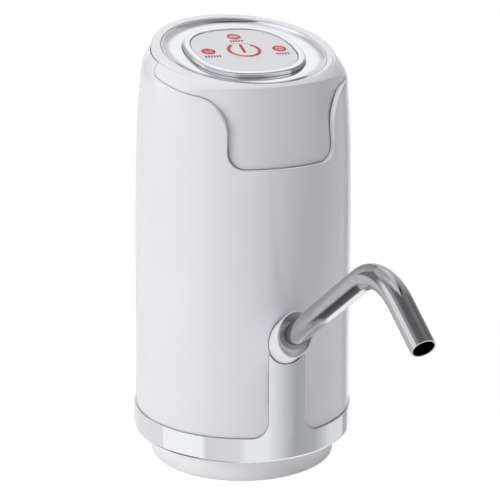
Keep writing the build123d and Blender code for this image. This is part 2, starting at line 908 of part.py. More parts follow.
rib_reach = (foot_rib_reach + foot_outer_reach) / 2
rib_top = spout_root_height - (spout_root_reach - rib_reach) * tan(radians(spout_rise))
with BuildPart() as spout_socket:
    with BuildSketch(foot_face):
        with Locations((0, -(foot_inner_reach + foot_outer_reach) / 2)):
            Rectangle(2 * foot_half_width, foot_outer_reach - foot_inner_reach)
    extrude(amount=foot_height)
    with BuildSketch(foot_face):
        with Locations((0, -rib_reach)):
            Rectangle(foot_rib_width, foot_outer_reach - foot_rib_reach)
    extrude(amount=rib_top - collar_top_height)
    with BuildSketch(spout_face.offset(-socket_depth)):
        Circle(socket_radius)
    extrude(amount=socket_depth + overrun)
    with BuildSketch(mouth_plane):
        Rectangle(4 * overrun, 4 * top_height)
    extrude(amount=overrun, mode=Mode.SUBTRACT)
    with BuildSketch(spout_face.offset(-socket_depth - socket_barb_length)):
        Circle(barb_radius)
    extrude(amount=socket_barb_length)
    with BuildSketch(spout_face.offset(-mouth_depth)):
        Circle(mouth_radius)
    extrude(amount=2 * overrun, mode=Mode.SUBTRACT)
    with BuildSketch(spout_face.offset(-guide_depth)):
        Circle(tube_radius + slip)
    extrude(amount=overrun, mode=Mode.SUBTRACT)
    with BuildSketch(spout_face.offset(-socket_depth - socket_barb_length)):
        Circle(barb_bore)
    extrude(amount=overrun, mode=Mode.SUBTRACT)
    with BuildSketch(foot_face):
        with Locations(socket_screw_place):
            Circle(screw_radius)
    extrude(amount=foot_height, mode=Mode.SUBTRACT)
    mouth_rim = spout_socket.faces().filter_by(Axis.Y).sort_by(Axis.Y)[0]
    fillet(mouth_rim.outer_wire().edges(), mouth_edge)
finish(spout_socket, "spout_socket")

o_ring_reach = tube_radius + slip + o_ring_section
with BuildPart() as socket_o_ring:
    with BuildSketch(spout_section):
        with Locations((o_ring_reach, o_ring_section + hairline - mouth_depth)):
            Circle(o_ring_section)
    revolve(axis=spout_axis)
finish(socket_o_ring, "socket_o_ring")

with BuildPart() as spout_seal:
    with BuildSketch(spout_face.offset(-seal_back)):
        Circle(mouth_radius - slip)
    extrude(amount=seal_back + seal_front)
    with BuildSketch(spout_face.offset(seal_front)):
        Circle(seal_lip_radius)
    extrude(amount=seal_lip_height)
    with BuildSketch(spout_face.offset(-seal_back)):
        Circle(tube_radius + slip)
    extrude(amount=overrun, mode=Mode.SUBTRACT)
finish(spout_seal, "spout_seal")

tube_root = spout_root - rise_direction * tube_inset
with BuildLine() as spout_path:
    FilletPolyline(tube_root, corner_point, tip_point, radius=bend_radius)

with BuildPart() as spout_tube:
    with BuildSketch(Plane(origin=tube_root, x_dir=(1, 0, 0), z_dir=rise_direction)):
        Circle(tube_radius)
        Circle(tube_radius - tube_wall, mode=Mode.SUBTRACT)
    sweep(path=spout_path.line)
finish(spout_tube, "spout_tube")

# Pump: from the ports at the bottom up to the motor

pump_x, pump_y = -port_reach * cos(radians(pump_turn)), -port_reach * sin(radians(pump_turn))
pump_across = Vector(cos(radians(pump_turn)), sin(radians(pump_turn)), 0)
ports = [(port_reach, 0), (-port_reach, 0)]
cover_bottom = port_bottom + port_length
plate_bottom = cover_bottom + cover_thickness
membrane_bottom = plate_bottom + valve_plate_thickness
pump_bottom = membrane_bottom + diaphragm_thickness
motor_bottom = pump_bottom + pump_body_height
motor_top = motor_bottom + motor_height
cup_top = pump_bottom + cup_height
swash_top = cup_top + swash_thickness
hub_top = motor_bottom - pump_roof - hub_gap
hub_bottom = hub_top - hub_height


def pump_plane(height):
    """A level plane on the pump's axis, with x towards the inlet port."""
    return Plane(origin=(pump_x, pump_y, height), x_dir=pump_across)


def cups():
    """Places of the diaphragm's cups."""
    return PolarLocations(cup_reach, cup_count)


def pump_bolts():
    """Places of the pump's screws, between the cups."""
    return PolarLocations(pump_screw_reach, cup_count, 180 / cup_count)


with BuildPart() as pump_cover:
    with BuildSketch(pump_plane(cover_bottom)):
        Circle(pump_radius)
    extrude(amount=cover_thickness)
    with BuildSketch(pump_plane(port_bottom)):
        with Locations(*ports):
            Circle(barb_radius)
    extrude(amount=port_length)
    with BuildSketch(pump_plane(plate_bottom)):
        Circle(pump_chamber_radius)
        Circle(outlet_pocket_radius + cover_rib, mode=Mode.SUBTRACT)
        with Locations((-port_reach, 0)):
            Rectangle(2 * port_reach, 2 * (barb_bore + cover_rib), mode=Mode.SUBTRACT)
    extrude(amount=-pocket_depth, mode=Mode.SUBTRACT)
    with BuildSketch(pump_plane(plate_bottom)):
        Circle(outlet_pocket_radius)
        with Locations((-port_reach / 2, 0)):
            Rectangle(port_reach, 2 * barb_bore)
        with Locations((-port_reach, 0)):
            Circle(barb_bore)
    extrude(amount=-pocket_depth, mode=Mode.SUBTRACT)
    with BuildSketch(pump_plane(port_bottom)):
        with Locations(*ports):
            Circle(barb_bore)
    extrude(amount=port_length + cover_thickness - pocket_depth, mode=Mode.SUBTRACT)
    with BuildSketch(pump_plane(cover_bottom)):
        with pump_bolts():
            Circle(pump_screw_radius + hairline)
    extrude(amount=cover_thickness, mode=Mode.SUBTRACT)
finish(pump_cover, "pump_cover")

with BuildPart() as pump_valve_plate:
    with BuildSketch(pump_plane(plate_bottom)):
        Circle(pump_radius)
        Circle(valve_stem_radius, mode=Mode.SUBTRACT)
        with PolarLocations(outlet_hole_reach, cup_count):
            Circle(valve_hole_radius, mode=Mode.SUBTRACT)
        with PolarLocations(inlet_valve_reach, cup_count):
            Circle(valve_stem_radius, mode=Mode.SUBTRACT)
            with PolarLocations(valve_hole_reach, valve_hole_count):
                Circle(valve_hole_radius, mode=Mode.SUBTRACT)
        with pump_bolts():
            Circle(pump_screw_radius + hairline, mode=Mode.SUBTRACT)
    extrude(amount=valve_plate_thickness)
finish(pump_valve_plate, "pump_valve_plate")

with BuildPart() as inlet_valves:
    with BuildSketch(pump_plane(membrane_bottom)):
        with PolarLocations(inlet_valve_reach, cup_count):
            Circle(inlet_valve_radius)
    extrude(amount=valve_thickness)
    with BuildSketch(pump_plane(membrane_bottom)):
        with PolarLocations(inlet_valve_reach, cup_count):
            Circle(valve_stem_radius)
    extrude(amount=-valve_stem_length)
finish(inlet_valves, "inlet_valves")

with BuildPart() as outlet_valve:
    with BuildSketch(pump_plane(plate_bottom)):
        Circle(outlet_valve_radius)
    extrude(amount=-valve_thickness)
    with BuildSketch(pump_plane(plate_bottom)):
        Circle(valve_stem_radius)
    extrude(amount=valve_stem_length)
finish(outlet_valve, "outlet_valve")

with BuildPart() as pump_diaphragm:
    with BuildSketch(pump_plane(membrane_bottom)):
        Circle(pump_radius)
        with pump_bolts():
            Circle(pump_screw_radius + hairline, mode=Mode.SUBTRACT)
    extrude(amount=diaphragm_thickness)
    with BuildSketch(pump_plane(pump_bottom)):
        with cups():
            Circle(cup_radius)
    extrude(amount=cup_height)
    with BuildSketch(pump_plane(membrane_bottom)):
        with cups():
            Circle(cup_radius - cup_wall)
    extrude(amount=diaphragm_thickness + cup_height - cup_wall, mode=Mode.SUBTRACT)
    with BuildSketch(pump_plane(cup_top)):
        with cups():
            Circle(button_radius)
    extrude(amount=swash_thickness + button_head_height)
    with BuildSketch(pump_plane(swash_top)):
        with cups():
            Circle(button_head_radius)
    extrude(amount=button_head_height)
finish(pump_diaphragm, "pump_diaphragm")

with BuildPart() as swash_plate:
    with BuildSketch(pump_plane(cup_top)):
        Circle(swash_radius)
        with cups():
            Circle(button_radius, mode=Mode.SUBTRACT)
    extrude(amount=swash_thickness)
    with BuildSketch(pump_plane(swash_top)):
        Circle(swash_pin_radius)
    extrude(amount=hub_bottom + hub_recess - hub_gap - swash_top)
finish(swash_plate, "swash_plate")

with BuildPart() as eccentric_hub:
    with BuildSketch(pump_plane(hub_bottom)):
        Circle(hub_radius)
    extrude(amount=hub_height)
    with BuildSketch(pump_plane(hub_bottom)):
        Circle(swash_pin_radius + hairline)
    extrude(amount=hub_recess, mode=Mode.SUBTRACT)
    with BuildSketch(pump_plane(hub_top)):
        Circle(motor_shaft_radius)
    extrude(amount=-hub_grip, mode=Mode.SUBTRACT)
finish(eccentric_hub, "eccentric_hub")

with BuildPart() as pump_body:
    with BuildSketch(pump_plane(pump_bottom)):
        Circle(pump_radius)
    extrude(amount=pump_body_height)
    with BuildSketch(pump_plane(pump_bottom)):
        Circle(pump_chamber_radius)
    extrude(amount=pump_body_height - pump_roof, mode=Mode.SUBTRACT)
    with BuildSketch(pump_plane(pump_bottom)):
        Circle(bush_radius + hairline)
        with PolarLocations(motor_screw_reach, motor_screw_count):
            Circle(pump_screw_radius + hairline)
    extrude(amount=pump_body_height, mode=Mode.SUBTRACT)
    with BuildSketch(pump_plane(pump_bottom)):
        with pump_bolts():
            Circle(pump_screw_radius)
    extrude(amount=screw_bite, mode=Mode.SUBTRACT)
finish(pump_body, "pump_body")

pump_stack = cover_thickness + valve_plate_thickness + diaphragm_thickness
pump_screw = screw(
    Plane.XY, pump_screw_radius, pump_screw_head, pump_screw_head_height, pump_stack + screw_bite
)
with BuildPart() as pump_screws:
    with Locations(pump_plane(cover_bottom)):
        with pump_bolts():
            add(pump_screw)
finish(pump_screws, "pump_screws")

# Motor

magnet_radius = motor_radius - motor_wall
with BuildPart() as motor_can:
    with BuildSketch(pump_plane(motor_bottom)):
        Circle(motor_radius)
    extrude(amount=motor_height)
    with BuildSketch(pump_plane(motor_bottom + motor_wall)):
        Circle(magnet_radius)
    extrude(amount=motor_height, mode=Mode.SUBTRACT)
    with BuildSketch(pump_plane(motor_bottom)):
        Circle(bush_radius)
        with PolarLocations(motor_screw_reach, motor_screw_count):
            Circle(pump_screw_radius)
    extrude(amount=motor_wall, mode=Mode.SUBTRACT)
finish(motor_can, "motor_can")

motor_screw_length = pump_roof + motor_screw_bite
motor_screw = screw(
    Plane.XY, pump_screw_radius, pump_screw_head, pump_screw_head_height, motor_screw_length
)
with BuildPart() as motor_screws:
    with Locations(pump_plane(motor_bottom - pump_roof)):
        with PolarLocations(motor_screw_reach, motor_screw_count):
            add(motor_screw)
finish(motor_screws, "motor_screws")

with BuildPart() as motor_bushes:
    with BuildSketch(pump_plane(motor_bottom)):
        Circle(bush_radius)
        Circle(motor_shaft_radius + slip, mode=Mode.SUBTRACT)
    extrude(amount=bush_length)
    with BuildSketch(pump_plane(motor_top - end_cap_spigot)):
        Circle(bush_radius)
        Circle(motor_shaft_radius + slip, mode=Mode.SUBTRACT)
    extrude(amount=bush_length)
finish(motor_bushes, "motor_bushes")

with BuildPart() as motor_magnets:
    with BuildSketch(pump_plane(motor_bottom + magnet_lift)):
        Circle(magnet_radius)
        Circle(magnet_radius - magnet_thickness, mode=Mode.SUBTRACT)
        Rectangle(2 * motor_radius, 2 * magnet_radius * magnet_gap_share, mode=Mode.SUBTRACT)
    extrude(amount=magnet_height)
finish(motor_magnets, "motor_magnets")

with BuildPart() as motor_rotor:
    with BuildSketch(pump_plane(hub_top - hub_grip)):
        Circle(motor_shaft_radius)
    extrude(amount=motor_top + end_cap_thickness - end_cap_skin - hub_top + hub_grip - hub_gap)
    with BuildSketch(pump_plane(motor_bottom + armature_lift)):
        Circle(armature_radius)
        with PolarLocations(armature_radius, pole_count):
            Rectangle(2 * pole_slot_depth, pole_slot_width, mode=Mode.SUBTRACT)
    extrude(amount=armature_height)
    with BuildSketch(pump_plane(motor_bottom + commutator_lift)):
        Circle(commutator_radius)
    extrude(amount=commutator_height)
finish(motor_rotor, "motor_rotor")

with BuildPart() as motor_end_cap:
    with BuildSketch(pump_plane(motor_top)):
        Circle(motor_radius)
    extrude(amount=end_cap_thickness)
    with BuildSketch(pump_plane(motor_top)):
        Circle(magnet_radius)
    extrude(amount=-end_cap_spigot)
    with BuildSketch(pump_plane(motor_top - end_cap_spigot)):
        Circle(bush_radius)
    extrude(amount=bush_length, mode=Mode.SUBTRACT)
    with BuildSketch(pump_plane(motor_top - end_cap_spigot)):
        Circle(motor_shaft_radius + slip)
    extrude(amount=end_cap_spigot + end_cap_thickness - end_cap_skin, mode=Mode.SUBTRACT)
    with BuildSketch(pump_plane(motor_top - end_cap_spigot)):
        with Locations((terminal_reach, 0), (-terminal_reach, 0)):
            Rectangle(terminal_thickness, terminal_width)
    extrude(amount=end_cap_spigot + end_cap_thickness, mode=Mode.SUBTRACT)
finish(motor_end_cap, "motor_end_cap")

brush_top = motor_top - end_cap_spigot
brush_reach = commutator_radius + hairline
with BuildPart() as motor_brushes:
    for side in (1, -1):
        with BuildSketch(pump_plane(brush_top)):
            with Locations((side * (brush_reach + terminal_reach) / 2, 0)):
                Rectangle(terminal_reach - brush_reach + terminal_thickness, brush_width)
        extrude(amount=-brush_thickness)
        with BuildSketch(pump_plane(brush_top)):
            with Locations((side * (brush_reach + brush_thickness / 2), 0)):
                Rectangle(brush_thickness, brush_width)
        extrude(amount=-brush_length)
        with BuildSketch(pump_plane(brush_top)):
            with Locations((side * terminal_reach, 0)):
                Rectangle(terminal_thickness, terminal_width)
        extrude(amount=end_cap_spigot + end_cap_thickness + terminal_height)
finish(motor_brushes, "motor_brushes")

# Bracket that carries the pump, the cradle and the charging board

bracket_top = collar_top_height + bracket_thickness
clamp_bottom = motor_bottom + clamp_lift
clamp_radius = motor_radius + hairline
clamp_reach = pump_radius + clamp_gap + clamp_post_radius
board_top = charge_height - usb_height / 2
board_bottom = board_top - charge_board_thickness
charge_posts = [(-charge_post_x, charge_post_reach), (charge_post_x, charge_post_reach)]
cell_plane = Plane(origin=(cell_x, cell_y, 0), x_dir=(cell_x, cell_y, 0))


def cradle_pegs():
    """Places of the pegs under the cradle."""
    return PolarLocations(cell_radius * peg_reach_share, peg_count)


with BuildPart() as pump_bracket:
    with BuildSketch(Plane.XY.offset(collar_top_height)):
        Circle(bracket_radius)
        with Locations((0, -bracket_front - bracket_radius)):
            Rectangle(2 * bracket_radius, 2 * bracket_radius, mode=Mode.SUBTRACT)
        Circle(bracket_well, mode=Mode.SUBTRACT)
    extrude(amount=bracket_thickness)
    with BuildSketch(cell_plane.offset(collar_top_height)):
        with cradle_pegs():
            Circle(peg_radius + slip)
    extrude(amount=bracket_thickness, mode=Mode.SUBTRACT)
    with BuildSketch(Plane.XY.offset(bracket_top)):
        with Locations(*roof_screw_places):
            Circle(bracket_boss_radius)
    extrude(amount=bracket_boss_height)
    with BuildSketch(Plane.XY.offset(bracket_top)):
        with Locations(*charge_posts):
            Circle(charge_post_radius)
    extrude(amount=board_bottom - bracket_top)
    with BuildSketch(pump_plane(bracket_top)):
        for angle in clamp_post_angles:
            with Locations(rotated_point(clamp_reach, angle)):
                Circle(clamp_post_radius)
    extrude(amount=clamp_bottom + clamp_height - bracket_top)
    with BuildSketch(pump_plane(clamp_bottom)):
        Circle(clamp_radius + clamp_wall)
        for angle in clamp_post_angles:
            with Locations(Location(rotated_point(clamp_reach / 2, angle), angle)):
                Rectangle(clamp_reach, 2 * clamp_post_radius)
        Circle(clamp_radius, mode=Mode.SUBTRACT)
    extrude(amount=clamp_height)
    with BuildSketch(Plane.XY.offset(collar_top_height)):
        with Locations(*roof_screw_places):
            Circle(screw_radius)
    extrude(amount=bracket_thickness + bracket_boss_height, mode=Mode.SUBTRACT)
    with BuildSketch(Plane.XY.offset(board_bottom - charge_screw_bite)):
        with Locations(*charge_posts):
            Circle(post_screw_radius)
    extrude(amount=charge_screw_bite, mode=Mode.SUBTRACT)
finish(pump_bracket, "pump_bracket")

cell_bottom = bracket_top + cradle_floor
cradle_radius = cell_radius + hairline
with BuildPart() as battery_cradle:
    with BuildSketch(cell_plane.offset(bracket_top)):
        Circle(cradle_radius + cradle_wall)
    extrude(amount=cradle_floor + cradle_cup_height)
    with BuildSketch(cell_plane.offset(collar_top_height)):
        with cradle_pegs():
            Circle(peg_radius)
    extrude(amount=bracket_thickness)
    with BuildSketch(cell_plane.offset(bracket_top)):
        with Locations((cradle_radius + cradle_wall / 2, 0)):
            Rectangle(cradle_wall, clip_back_width)
    extrude(amount=clip_bottom + clip_height - bracket_top)
    with BuildSketch(cell_plane.offset(clip_bottom)):
        Circle(cradle_radius + cradle_wall)
        with Locations((-(1 + clip_mouth_share) * cell_radius, 0)):
            Rectangle(2 * cell_radius, 4 * cell_radius, mode=Mode.SUBTRACT)
    extrude(amount=clip_height)
    with BuildSketch(cell_plane.offset(cell_bottom)):
        Circle(cradle_radius)
    extrude(amount=top_height, mode=Mode.SUBTRACT)
finish(battery_cradle, "battery_cradle")

with BuildPart() as battery_cell:
    with BuildSketch(cell_plane.offset(cell_bottom)):
        Circle(cell_radius)
    extrude(amount=cell_length)
    fillet(battery_cell.edges().filter_by(GeomType.CIRCLE), cell_edge)
    with BuildSketch(cell_plane.offset(cell_bottom + cell_length)):
        Circle(cell_button_radius)
    extrude(amount=cell_button_height)
finish(battery_cell, "battery_cell")

# Charging board with its socket

with BuildPart() as charge_board:
    with BuildSketch(Plane.XY.offset(board_bottom)):
        with Locations((0, charge_board_reach)):
            Rectangle(charge_board_width, charge_board_length, align=(Align.CENTER, Align.MAX))
        with Locations(*charge_posts):
            Circle(post_screw_radius + hairline, mode=Mode.SUBTRACT)
    extrude(amount=charge_board_thickness)
finish(charge_board, "charge_board")

charge_screw = screw(
    Plane.XY,
    post_screw_radius,
    post_screw_head,
    post_screw_head_height,
    charge_board_thickness + charge_screw_bite,
)
with BuildPart() as charge_screws:
    with Locations(Plane(origin=(0, 0, board_top), x_dir=(1, 0, 0), z_dir=(0, 0, -1))):
        with Locations(*[(place_x, -place_y) for place_x, place_y in charge_posts]):
            add(charge_screw)
finish(charge_screws, "charge_screws")

with BuildPart() as usb_shell:
    with BuildSketch(usb_plane):
        RectangleRounded(usb_width, usb_height, usb_round)
    extrude(amount=-usb_length)
    with BuildSketch(usb_plane):
        RectangleRounded(usb_width - 2 * usb_wall, usb_height - 2 * usb_wall, usb_round - usb_wall)
    extrude(amount=usb_wall - usb_length, mode=Mode.SUBTRACT)
finish(usb_shell, "usb_shell")

with BuildPart() as usb_tongue:
    with BuildSketch(usb_plane.offset(usb_wall - usb_length)):
        Rectangle(usb_tongue_width, usb_tongue_thickness)
    extrude(amount=usb_tongue_length)
finish(usb_tongue, "usb_tongue")

# Hoses

with BuildPart() as inlet_hose:
    with BuildSketch(Plane.XY.offset(nut_top)):
        Circle(hose_radius)
        Circle(barb_radius, mode=Mode.SUBTRACT)
    extrude(amount=cover_bottom - nut_top)
finish(inlet_hose, "inlet_hose")

outlet_port = Vector(2 * pump_x, 2 * pump_y, cover_bottom)
hose_start = spout_root - rise_direction * socket_depth
hose_turn = hose_start - rise_direction * hose_first_run
hose_corner = outlet_port - Vector(0, 0, hose_last_run)
hose_points = [hose_start, hose_turn, hose_corner, outlet_port]
hose_runs = [after - before for before, after in zip(hose_points, hose_points[1:])]
hose_radii = []
for before, after in zip(hose_runs, hose_runs[1:]):
    half_turn = radians(before.get_angle(after)) / 2
    shorter = min(before.length, after.length)
    hose_radii.append(hose_bend_share * shorter / tan(half_turn))

with BuildLine() as hose_path:
    FilletPolyline(*hose_points, radius=hose_radii)

with BuildPart() as outlet_hose:
    with BuildSketch(Plane(origin=hose_start, x_dir=(1, 0, 0), z_dir=-rise_direction)):
        Circle(hose_radius)
        Circle(barb_radius, mode=Mode.SUBTRACT)
    sweep(path=hose_path.line)
finish(outlet_hose, "outlet_hose")

hose_section = pi * (hose_radius**2 - barb_radius**2)
hose_length = sum(edge.length for edge in hose_path.edges())
print("outlet hose radii", [round(radius, 2) for radius in hose_radii])
print("outlet hose volume", round(outlet_hose.part.volume, 1))
print("outlet hose section times length", round(hose_section * hose_length, 1))
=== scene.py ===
# %% [markdown]
# # A bottled water pump
#
# This lesson dresses a finished CAD model of a rechargeable pump that stands
# on the neck of a water bottle. The CAD model gives every piece its place and
# size, so nothing is placed by eye. Here the pieces get their finishes, the
# few printed and drawn parts that CAD leaves plain, a camera and soft light.
#
# Everything is in metres, with Z up and the spout towards -Y.

from math import atan2, cos, pi, radians, sin

import bmesh
import bpy
from mathutils import Matrix, Vector


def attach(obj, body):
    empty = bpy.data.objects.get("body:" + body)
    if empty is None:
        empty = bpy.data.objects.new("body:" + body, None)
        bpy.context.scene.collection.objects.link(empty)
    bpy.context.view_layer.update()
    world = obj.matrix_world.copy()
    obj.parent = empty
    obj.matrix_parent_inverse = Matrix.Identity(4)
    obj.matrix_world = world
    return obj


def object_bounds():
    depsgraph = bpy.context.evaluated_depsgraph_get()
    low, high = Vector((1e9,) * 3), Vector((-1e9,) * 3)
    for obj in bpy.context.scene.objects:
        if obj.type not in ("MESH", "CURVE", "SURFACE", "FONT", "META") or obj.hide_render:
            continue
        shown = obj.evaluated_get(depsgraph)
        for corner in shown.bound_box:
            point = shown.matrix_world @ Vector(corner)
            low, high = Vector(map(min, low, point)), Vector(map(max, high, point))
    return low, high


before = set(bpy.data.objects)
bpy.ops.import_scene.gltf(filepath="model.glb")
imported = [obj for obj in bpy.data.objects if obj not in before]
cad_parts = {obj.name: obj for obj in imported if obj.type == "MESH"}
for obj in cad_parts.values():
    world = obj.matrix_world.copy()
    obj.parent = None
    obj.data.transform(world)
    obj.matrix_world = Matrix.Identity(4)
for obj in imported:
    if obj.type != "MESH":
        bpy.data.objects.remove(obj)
cad_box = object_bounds()
MM = 0.001
print("nodes:", len(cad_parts))

# %% [markdown]
# ## Camera
#
# The photograph was taken from a little above and to the left of the spout,
# with a long lens. The angle and the distance were worked out from outlines
# whose shape is known: level circles such as the foot ring, and the slanted
# rim. A long lens could also be made with an orthographic camera, but then the
# small difference between near and far circles would be lost.
#
# First come the three directions that the camera needs: back from the object,
# across the picture and up the picture.

# %% Camera directions
camera_target = Vector((0, 0, 0.080))
camera_distance = 0.67985
camera_azimuth = radians(-23.99)
camera_height = radians(16.85)
camera_roll = radians(0.30)

back = Vector(
    (
        sin(camera_azimuth) * cos(camera_height),
        -cos(camera_azimuth) * cos(camera_height),
        sin(camera_height),
    )
)
level = Vector((cos(camera_azimuth), sin(camera_azimuth), 0))
upright = back.cross(level)
across = level * cos(camera_roll) + upright * sin(camera_roll)
upward = upright * cos(camera_roll) - level * sin(camera_roll)
print("towards the camera:", [round(value, 3) for value in back])

# %% [markdown]
# ### The camera itself
#
# The lens and the small shift give the object the size and place that it has
# in the photograph. The shift moves the picture without turning the camera,
# as a studio camera does, so upright lines stay as they are.

# %% Camera
camera_data = bpy.data.cameras.new("camera")
camera_data.lens = 138.27
camera_data.sensor_width = 36
camera_data.shift_x = 0.01372
camera_data.shift_y = -0.02936
camera = bpy.data.objects.new("camera", camera_data)
camera_place = Matrix.Translation(camera_target + back * camera_distance)
camera_turn = Matrix((across, upward, back)).transposed().to_4x4()
camera.matrix_world = camera_place @ camera_turn
bpy.context.scene.collection.objects.link(camera)
bpy.context.scene.camera = camera
bpy.context.scene.view_settings.view_transform = "Standard"
print("camera at", [round(value, 3) for value in camera.location])

# %% [markdown]
# ## Two small helpers for materials
#
# A colour is written as the hex value that a colour picker gives, in sRGB.
# Shaders work in linear light, so one function turns it, with the constants of
# the sRGB standard. The other function adds a node, with its settings and its
# links, to a material or to the world.


# %% Material helpers
def linear(hex_colour):
    """An sRGB hex value as linear light, with alpha."""
    shares = [int(hex_colour[place : place + 2], 16) / 255 for place in (1, 3, 5)]
    light = [
        share / 12.92 if share <= 0.04045 else ((share + 0.055) / 1.055) ** 2.4
        for share in shares
    ]
    return (*light, 1.0)


def add_node(tree, kind, settings=None, links=None):
    """Add a shader node, set its sockets or properties, and link its inputs."""
    made = tree.nodes.new("ShaderNode" + kind)
    for name, value in (settings or {}).items():
        if isinstance(name, str) and hasattr(made, name):
            setattr(made, name, value)
        else:
            made.inputs[name].default_value = value
    for name, output in (links or {}).items():
        tree.links.new(output, made.inputs[name])
    return made


white_light = linear("#FFFFFF")
print("white in linear light:", white_light)

# %% [markdown]
# ## Light
#
# The photograph's light is a plain studio: one big soft light on the left, a
# dimmer right side, and white all round. Polished metal shows what stands
# around it, so the surroundings that mirrors see are drawn as panels of light
# and grey, while matt surfaces get an even fill. Real panels could be modelled
# as planes, but a background by direction costs nothing to render.
#
# The metal itself says where the panels stood. For places on the foot ring,
# the dish and the spout, the direction in which the mirror looks was worked
# out, and the brightness there was compared with the photograph. What came
# out was then made plainer: broader panels, with levels rounded to a
# twentieth. They stand in six storeys, from under the table's edge to
# overhead.
#
# ### The two lowest storeys
#
# Each stop is a bearing, in degrees to the right of the spout, and how bright
# the surroundings are there. Two stops of the same brightness make an even
# panel, and between two that differ the light goes over evenly.

# %% Panels under the table's edge and level with the object
table_panels = [
    (-180, 0.20), (-140, 0.10), (-100, 0.50), (0, 0.90), (60, 1.20),
    (90, 1.20), (130, 1.60), (156, 1.50), (164, 0.40), (180, 0.20),
]
studio_panels = [
    (-180, 0.90), (-118, 0.90), (-116, 1.10), (-68, 1.10), (-62, 0.80),
    (-26, 0.85), (-18, 1.00), (2, 1.00), (34, 0.45), (60, 0.50),
    (84, 0.85), (110, 0.85), (113, 0.50), (126, 0.50), (129, 1.00),
    (148, 1.00), (151, 0.05), (163, 0.05), (166, 0.90), (180, 0.90),
]
print("stops in the low storeys:", len(table_panels) + len(studio_panels))

# %% [markdown]
# ### The two middle storeys
#
# Above the level panels the light is more uneven. The lower of these storeys is
# brightest at the left and behind, and dim in front and on the right. The upper
# one is plainer, with its brightest panel behind.

# %% Panels above the object
upper_panels = [
    (-180, 0.90), (-168, 0.30), (-142, 0.30), (-132, 1.40), (-108, 1.40),
    (-98, 0.90), (-30, 0.90), (-14, 0.35), (16, 0.35), (40, 0.90),
    (58, 0.90), (66, 0.25), (116, 0.25), (132, 0.70), (180, 0.90),
]
slope_panels = [
    (-180, 0.70), (-150, 0.80), (-138, 0.50), (58, 0.60),
    (66, 0.20), (106, 0.20), (114, 0.55), (134, 0.60),
    (147, 1.10), (158, 1.10), (172, 0.60), (180, 0.70),
]
print("stops in the middle storeys:", len(upper_panels) + len(slope_panels))

# %% [markdown]
# ### The two highest storeys
#
# The dish on top looks up, so it shows the ceiling and what is overhead: bright
# behind, dark at both sides, and in front bright in the lower storey only.

# %% Panels overhead
ceiling_panels = [
    (-180, 0.60), (-150, 1.00), (-126, 0.40), (-116, 0.25), (-80, 0.25),
    (-66, 0.95), (48, 0.95), (62, 0.25), (110, 0.40), (128, 0.40),
    (144, 1.00), (160, 1.00), (175, 0.60), (180, 0.60),
]
zenith_panels = [
    (-180, 1.00), (-160, 1.20), (-145, 1.20), (-108, 0.20),
    (66, 0.20), (80, 0.30), (104, 0.30), (118, 0.05),
    (127, 0.05), (140, 0.75), (180, 1.00),
]
print("stops in the high storeys:", len(ceiling_panels) + len(zenith_panels))

# %% [markdown]
# ### Directions in the room
#
# The world's shader is asked for the light from one direction at a time. Its
# compass bearing comes from X and -Y, so that zero is where the spout points.
# The full circle is then fitted to the length of a ramp, from 0 to 1.

# %% Bearing of a direction
world = bpy.data.worlds.new("studio")
bpy.context.scene.world = world
world.use_nodes = True
sky = world.node_tree
sky.nodes.clear()
direction = add_node(sky, "TexCoord")
heading = add_node(sky, "SeparateXYZ", links={0: direction.outputs["Generated"]})
forward = add_node(
    sky, "Math", {"operation": "MULTIPLY", 1: -1.0}, {0: heading.outputs["Y"]}
)
bearing = add_node(
    sky, "Math", {"operation": "ARCTAN2"}, {0: heading.outputs["X"], 1: forward.outputs[0]}
)
ramp_place = add_node(
    sky, "MapRange", {"From Min": -pi, "From Max": pi}, {"Value": bearing.outputs[0]}
)
print("nodes for the bearing:", len(sky.nodes))

# %% [markdown]
# ### Stacking the storeys
#
# Each storey is one colour ramp, a touch cooler than neutral grey. From
# straight down to straight up, one ramp goes over into the next between two
# heights of the direction, where -1 is down, 0 is level and 1 is up. One image
# of the room would do the same, but this scene uses no image textures.

# %% Storeys of panels
blue_share = 1.01


def panel_ramp(panels):
    """A ramp of grey levels by compass bearing."""
    ramp = add_node(sky, "ValToRGB", links={"Fac": ramp_place.outputs["Result"]})
    stops = ramp.color_ramp.elements
    stops_at_first = len(stops)
    for number, (angle, bright) in enumerate(panels):
        place = (angle + 180) / 360
        stop = stops[number] if number < stops_at_first else stops.new(place)
        stop.position = place
        stop.color = (bright, bright, bright * blue_share, 1)
    return ramp.outputs["Color"]


def add_storey(below, above, first, last):
    """Go over from one ramp to another between two heights of the direction."""
    height = {"From Min": first, "From Max": last}
    amount = add_node(sky, "MapRange", height, {"Value": heading.outputs["Z"]})
    colours = {"Fac": amount.outputs["Result"], "Color1": below, "Color2": above}
    return add_node(sky, "MixRGB", links=colours).outputs[0]


mirrored = panel_ramp(table_panels)
for panels, first, last in (
    (studio_panels, -0.75, -0.60),
    (upper_panels, -0.16, -0.04),
    (slope_panels, 0.42, 0.52),
    (ceiling_panels, 0.72, 0.79),
    (zenith_panels, 0.86, 0.91),
):
    mirrored = add_storey(mirrored, panel_ramp(panels), first, last)
    print("next storey from", first, "to", last, "with", len(panels), "stops")

# %% [markdown]
# ### Who sees what
#
# Only reflections show the panels. The camera, and rays that go through
# something clear, meet plain white, and everything else gets a weak, even
# fill. So the page stays white without more light on the object.

